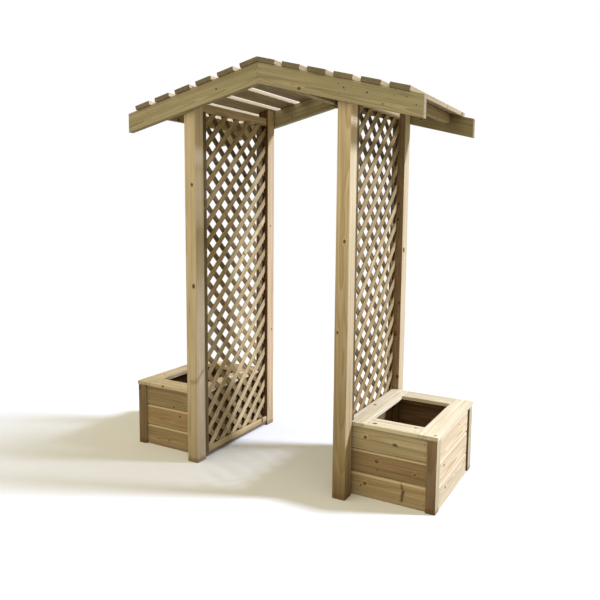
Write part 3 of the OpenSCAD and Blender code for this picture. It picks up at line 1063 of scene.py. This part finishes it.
def nail_rafter(bm, board, side, end, facing, rng):
    """Three nails into the post, and two into each of the ridge board and the eave batten."""
    post_low, post_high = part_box(f"post_{end}_{side}")
    eave_low, eave_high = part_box(f"eave_batten_{side}")
    _, ridge_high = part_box("ridge_board")
    post_x = (post_low.x + post_high.x) / 2
    eave_x = (eave_low.x + eave_high.x) / 2
    ridge_x = ridge_high.x / 2 * (1 if side == "right" else -1)
    places = [(post_x + offset, share) for offset, share in POST_NAILS]
    places += [(x, share) for x in (ridge_x, eave_x) for share in PAIR_SHARES]
    down, up = board.axes[0], upward_axis(board, 1)
    face_y = board.middle.y + facing.y * board.half.z
    for x, share in places:
        run = (x - board.middle.x) / down.x
        point = board.middle + down * run + up * (share * board.half.y)
        point.x += around(rng, SCATTER_ALONG)
        point.y = face_y
        add_nail(bm, point, facing)


def make_nails(boards, steel):
    """Nails where each board of the roof and the planters is fixed to what carries it."""
    rng = random.Random(f"{SEED} nails")
    roof, planters = bmesh.new(), bmesh.new()
    for side, outward in (("left", -X_AXIS), ("right", X_AXIS)):
        for board in boards[f"roof_slats_{side}"]:
            nail_board_ends(roof, board, upward_axis(board, 2), SLAT_INSET, rng)
        for end, facing in (("front", -Y_AXIS), ("back", Y_AXIS)):
            nail_rafter(roof, boards[f"rafter_{end}_{side}"][0], side, end, facing, rng)
        for name, facing, inset in (
            ("front_boards", -Y_AXIS, WALL_INSET),
            ("back_boards", Y_AXIS, WALL_INSET),
            ("outer_boards", outward, WALL_INSET),
            ("cap_sides", Z_AXIS, CAP_INSET),
            ("cap_ends", Z_AXIS, CAP_INSET),
        ):
            for board in boards[f"planter_{side}_{name}"]:
                nail_board_ends(planters, board, facing, inset, rng)
    for bm, name in ((roof, "roof_nails"), (planters, "planter_nails")):
        finish_piece(bm, name, steel, None)


# ---- stage, light and camera

FLOOR_RADIUS = 30.0
FLOOR_SIDES = 96
# the floor as the camera sees it, and as it throws light back near the arch and far off
FLOOR_SEEN = (0.88, 0.90, 0.97, 1.0)
FLOOR_NEAR = (0.10, 0.11, 0.08, 1.0)
FLOOR_FAR = (0.43, 0.40, 0.28, 1.0)
NEAR_END, FAR_START = 1.1, 2.4
# the floor turns to plain white between these distances from the middle
FADE_START, FADE_END = 1.2, 2.6
WHITE = (1.0, 1.0, 1.0, 1.0)

SUN_AZIMUTH = 25.0
SUN_ELEVATION = 35.0
SUN_ANGLE = 8.0
SUN_STRENGTH = 3.6
SUN_COLOUR = (0.97, 1.04, 1.24)
SUN_DISTANCE = 6.0
FILL_COLOUR = (1.0, 0.90, 0.62, 1.0)
FILL_STRENGTH = 0.30
SOFTBOX_TOWARDS = (-0.22, -0.66, 0.72)
SOFTBOX_STRENGTH = 1.30
SOFTBOX_FOCUS = 2.5

# camera: lens and shift as measured from the photograph's perspective
SENSOR_MM = 36.0
LENS_MM = 36.56
SHIFT = (-0.0840, -0.0438)
CAMERA_PLACE = (1.734, -2.872, 1.415)
CAMERA_YAW = 26.34
CAMERA_DOWN = 6.37
CAMERA_ROLL = 1.03


def seen_directly(w):
    """1 for the camera's own rays and for what glossy or clear surfaces show of the surroundings."""
    path = w.add("ShaderNodeLightPath").outputs
    glossy = w.math("MAXIMUM", path["Is Glossy Ray"], path["Is Transmission Ray"])
    return w.math("MAXIMUM", path["Is Camera Ray"], glossy)


def floor_material():
    """Matt and pale to look at, a darker reflector for the light, and plain white further off."""
    material, w, shader = new_material("pale_floor")
    seen = seen_directly(w)
    position = w.add("ShaderNodeNewGeometry").outputs["Position"]
    away = w.measure("LENGTH", position)
    bounce = w.mix(w.step(away, NEAR_END, FAR_START), FLOOR_NEAR, FLOOR_FAR)
    w.feed(shader.inputs["Base Color"], w.mix(seen, bounce, FLOOR_SEEN))
    w.feed(shader.inputs["Roughness"], 1.0)
    w.feed(shader.inputs["Specular IOR Level"], 0.0)
    white = w.add("ShaderNodeEmission", {"Color": WHITE, "Strength": 1.0})
    fade = w.times(w.step(away, FADE_START, FADE_END), seen)
    mixed = w.add("ShaderNodeMixShader", {0: fade, 1: shader.outputs[0], 2: white.outputs[0]})
    w.feed(material.node_tree.nodes["Material Output"].inputs["Surface"], mixed.outputs[0])
    return material


def make_floor():
    """A pale floor that keeps the shadow near the arch and runs out to plain white further off."""
    bm = bmesh.new()
    bmesh.ops.create_circle(bm, cap_ends=True, radius=FLOOR_RADIUS, segments=FLOOR_SIDES)
    new_object(bm, "floor", floor_material())


def make_world():
    """A soft warm fill, strongest from the front left as from a large softbox, seen as plain white."""
    world = bpy.data.worlds.new("studio")
    bpy.context.scene.world = world
    world.use_nodes = True
    w = Wiring(world.node_tree)
    world.node_tree.nodes.clear()
    direction = w.add("ShaderNodeTexCoord").outputs["Generated"]
    facing = w.measure("DOT_PRODUCT", direction, Vector(SOFTBOX_TOWARDS).normalized())
    softbox = w.math("POWER", w.math("MAXIMUM", facing, 0.0), SOFTBOX_FOCUS)
    strength = w.linear(softbox, SOFTBOX_STRENGTH, FILL_STRENGTH)
    fill = w.add("ShaderNodeBackground", {"Color": FILL_COLOUR, "Strength": strength})
    white = w.add("ShaderNodeBackground", {"Color": WHITE, "Strength": 1.0})
    mixed = w.add("ShaderNodeMixShader", {0: seen_directly(w), 1: fill.outputs[0], 2: white.outputs[0]})
    w.add("ShaderNodeOutputWorld", {"Surface": mixed.outputs[0]})


def make_sun():
    """A broad lamp from the right and a little behind, as the photograph is lit."""
    lamp = bpy.data.lights.new("sun", "SUN")
    lamp.energy = SUN_STRENGTH
    lamp.color = SUN_COLOUR
    lamp.angle = math.radians(SUN_ANGLE)
    sun = bpy.data.objects.new("sun", lamp)
    azimuth, elevation = math.radians(SUN_AZIMUTH), math.radians(SUN_ELEVATION)
    level = math.cos(elevation)
    towards = Vector((math.cos(azimuth) * level, math.sin(azimuth) * level, math.sin(elevation)))
    sun.rotation_euler = towards.to_track_quat("Z", "Y").to_euler()
    sun.location = towards * SUN_DISTANCE
    bpy.context.scene.collection.objects.link(sun)


def make_camera():
    """The photograph's view, from the front right at chest height."""
    data = bpy.data.cameras.new("camera")
    data.sensor_width = SENSOR_MM
    data.lens = LENS_MM
    data.shift_x, data.shift_y = SHIFT
    camera = bpy.data.objects.new("camera", data)
    turn = Matrix.Rotation(math.radians(CAMERA_YAW), 4, "Z")
    tilt = Matrix.Rotation(math.radians(90 - CAMERA_DOWN), 4, "X")
    roll = Matrix.Rotation(math.radians(CAMERA_ROLL), 4, "Z")
    camera.matrix_world = Matrix.Translation(CAMERA_PLACE) @ turn @ tilt @ roll
    bpy.context.scene.collection.objects.link(camera)
    bpy.context.scene.camera = camera


# ---- the whole scene


def main():
    """Builds every piece from the frame's nodes, then the floor, the light and the camera."""
    bpy.context.scene.view_settings.view_transform = "Standard"
    timber = timber_materials()
    steel = steel_material()
    boards, crossings = {}, []
    for node, holder in sorted(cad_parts.items()):
        slot = holder.data.materials[0].name
        if node.startswith("lattice_") and "battens" not in node:
            drop = RIGHT_DROP if node.endswith("right") else 0.0
            crossings += make_lattice(node, drop, timber[slot])
        else:
            boards[node] = make_boards(node, slot, timber[slot])
    make_nails(boards, steel)
    make_staples(crossings, steel)
    make_floor()
    make_world()
    make_sun()
    make_camera()


main()
